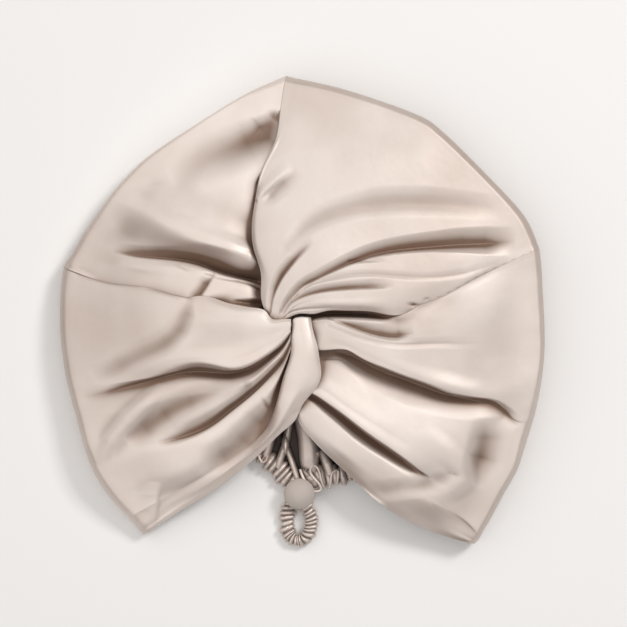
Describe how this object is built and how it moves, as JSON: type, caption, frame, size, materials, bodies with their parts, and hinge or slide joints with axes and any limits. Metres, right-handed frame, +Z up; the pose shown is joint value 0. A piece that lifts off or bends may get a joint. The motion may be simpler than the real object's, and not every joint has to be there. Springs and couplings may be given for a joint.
{
  "type": "sleep bonnet",
  "caption": "Twist-front satin sleep bonnet lying flat: puffed crown and lobes drawn into a front twist, a gathered nape band, a round button and a ruched loop.",
  "frame": {"origin": "bottom centre of the bonnet's bounding box, on the surface that it lies on", "axes": "+Z up off that surface, the bonnet's front side up; +Y towards the crown's peak and -Y towards the nape; +X to the right of the picture"},
  "size_m": [0.309, 0.3024, 0.0524],
  "materials": {
    "satin": "champagne satin weave",
    "ruched_satin": "the same satin, gathered over elastic",
    "button": "matt"
  },
  "bodies": {
    "root": {"crown_left": "satin", "crown_right": "satin", "wrap_left": "satin", "wrap_right": "satin", "back_panel": "satin", "nape_band": "ruched_satin", "button": "button", "button_loop": "ruched_satin"}
  },
  "joints": []
}
